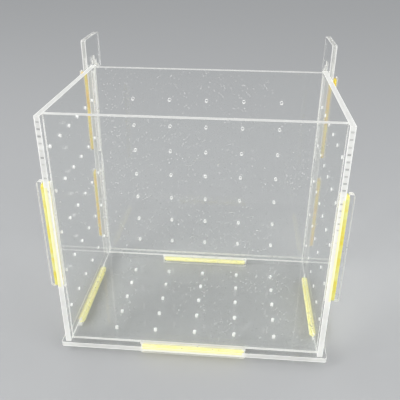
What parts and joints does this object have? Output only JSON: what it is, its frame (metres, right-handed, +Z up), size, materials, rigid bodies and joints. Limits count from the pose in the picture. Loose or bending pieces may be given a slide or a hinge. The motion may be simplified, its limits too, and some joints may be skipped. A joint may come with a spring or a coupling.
{
  "type": "fish breeding box",
  "caption": "Open-topped box of slotted clear sheet with rows of small water holes, its through-tabs locked by elastic bands, with hooks that hang it on a tank rim.",
  "frame": {"origin": "on the surface that the feet stand on, under the middle of the whole object's bounding box", "axes": "+Z up, +Y towards the tank's glass and the hooks, +X to the right when the front panel faces the viewer"},
  "size_m": [0.1624, 0.127, 0.164],
  "materials": {
    "clear_sheet": "polished clear acrylic sheet with bright cut edges",
    "elastic_band": "smooth translucent yellow elastic"
  },
  "bodies": {
    "root": {"base_plate": "clear_sheet", "front_panel": "clear_sheet", "back_panel": "clear_sheet", "left_panel": "clear_sheet", "right_panel": "clear_sheet", "left_hanger": "clear_sheet", "right_hanger": "clear_sheet", "band_front_left": "elastic_band", "band_front_right": "elastic_band", "band_back_left_lower": "elastic_band", "band_back_left_upper": "elastic_band", "band_back_right_lower": "elastic_band", "band_back_right_upper": "elastic_band", "band_base_front": "elastic_band", "band_base_back": "elastic_band", "band_base_left": "elastic_band", "band_base_right": "elastic_band"}
  },
  "joints": []
}
